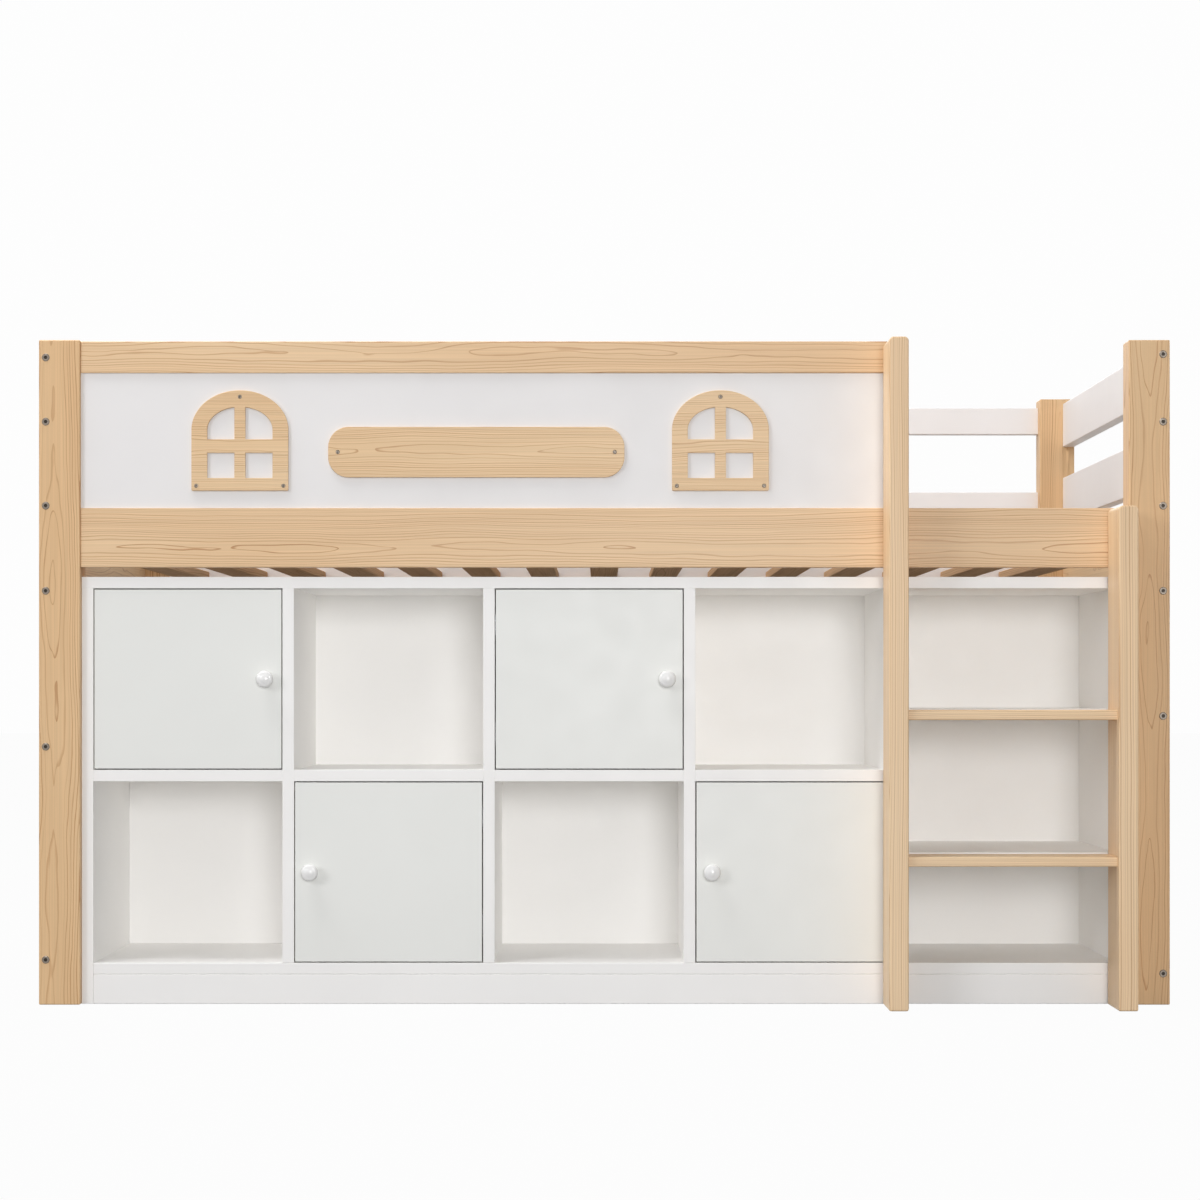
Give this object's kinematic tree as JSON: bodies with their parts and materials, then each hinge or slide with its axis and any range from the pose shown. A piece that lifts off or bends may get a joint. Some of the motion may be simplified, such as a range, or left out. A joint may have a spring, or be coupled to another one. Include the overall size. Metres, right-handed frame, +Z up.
{
  "type": "cabin bed",
  "caption": "Mid-height single cabin bed: pine frame with a white panel, slatted base over a cube cabinet with cupboard doors, and a fixed upright ladder.",
  "frame": {"origin": "on the floor, under the middle of the overall box", "axes": "+X along the bed towards the ladder end, -Y is the front with the doors and the ladder, +Z up"},
  "size_m": [2.062, 1.077, 1.211],
  "materials": {
    "pine": "pale pine, planed and clear lacquered",
    "white_lacquer": "white satin lacquer on board",
    "door_lacquer": "white satin lacquer on board, a shade cooler",
    "knob_white": "turned, white gloss lacquer",
    "trim_plywood": "pale plywood, sanded",
    "zinc_steel": "zinc-plated steel",
    "beech": "plain beech dowel"
  },
  "bodies": {
    "frame": {"post_front_left": "pine", "post_front_right": "pine", "post_back_left": "pine", "post_back_right": "pine", "end_stiles_left": "pine", "end_stiles_right": "pine", "end_bed_rail_left": "pine", "end_bed_rail_right": "pine", "front_top_rail": "pine", "front_bed_rail": "pine", "ledge_front": "pine", "ledge_back": "pine", "slats": "pine", "ladder_stile_left": "pine", "ladder_stile_right": "pine", "ladder_rungs": "pine", "end_guard_rails_left": "white_lacquer", "end_guard_rails_right": "white_lacquer", "end_lower_rails_left": "white_lacquer", "end_lower_rails_right": "white_lacquer", "front_panel": "white_lacquer", "back_top_rail": "white_lacquer", "back_middle_rail": "white_lacquer", "back_bed_rail": "white_lacquer", "cabinet_top": "white_lacquer", "cabinet_bottom": "white_lacquer", "cabinet_side_left": "white_lacquer", "cabinet_side_right": "white_lacquer", "cabinet_middle_shelves": "white_lacquer", "ladder_bay_shelves": "white_lacquer", "cabinet_plinths": "white_lacquer", "cabinet_back": "white_lacquer", "cabinet_divider_1": "white_lacquer", "cabinet_divider_2": "white_lacquer", "cabinet_divider_3": "white_lacquer", "cabinet_divider_4": "white_lacquer", "window_left": "trim_plywood", "window_right": "trim_plywood", "name_plate": "trim_plywood", "hinge_arms": "zinc_steel", "post_bolts": "zinc_steel", "rail_bolts": "zinc_steel", "barrel_nuts": "zinc_steel", "ladder_bolts": "zinc_steel", "trim_screws": "zinc_steel", "slat_screws": "zinc_steel", "cabinet_dowels": "beech"},
    "door_1": {"door_1": "door_lacquer", "door_knob_1": "knob_white", "hinge_cups_1": "zinc_steel"},
    "door_2": {"door_2": "door_lacquer", "door_knob_2": "knob_white", "hinge_cups_2": "zinc_steel"},
    "door_3": {"door_3": "door_lacquer", "door_knob_3": "knob_white", "hinge_cups_3": "zinc_steel"},
    "door_4": {"door_4": "door_lacquer", "door_knob_4": "knob_white", "hinge_cups_4": "zinc_steel"}
  },
  "joints": [
    {"name": "door_1_hinge", "type": "hinge", "parent": "frame", "child": "door_1", "pos_m": [-0.9075, -0.4195, 0.59325], "axis": [0, 0, -1], "range_deg": [0, 95]},
    {"name": "door_2_hinge", "type": "hinge", "parent": "frame", "child": "door_2", "pos_m": [-0.2477, -0.4195, 0.24075], "axis": [0, 0, 1], "range_deg": [0, 95]},
    {"name": "door_3_hinge", "type": "hinge", "parent": "frame", "child": "door_3", "pos_m": [-0.1743, -0.4195, 0.59325], "axis": [0, 0, -1], "range_deg": [0, 95]},
    {"name": "door_4_hinge", "type": "hinge", "parent": "frame", "child": "door_4", "pos_m": [0.4855, -0.4195, 0.24075], "axis": [0, 0, 1], "range_deg": [0, 90]}
  ]
}
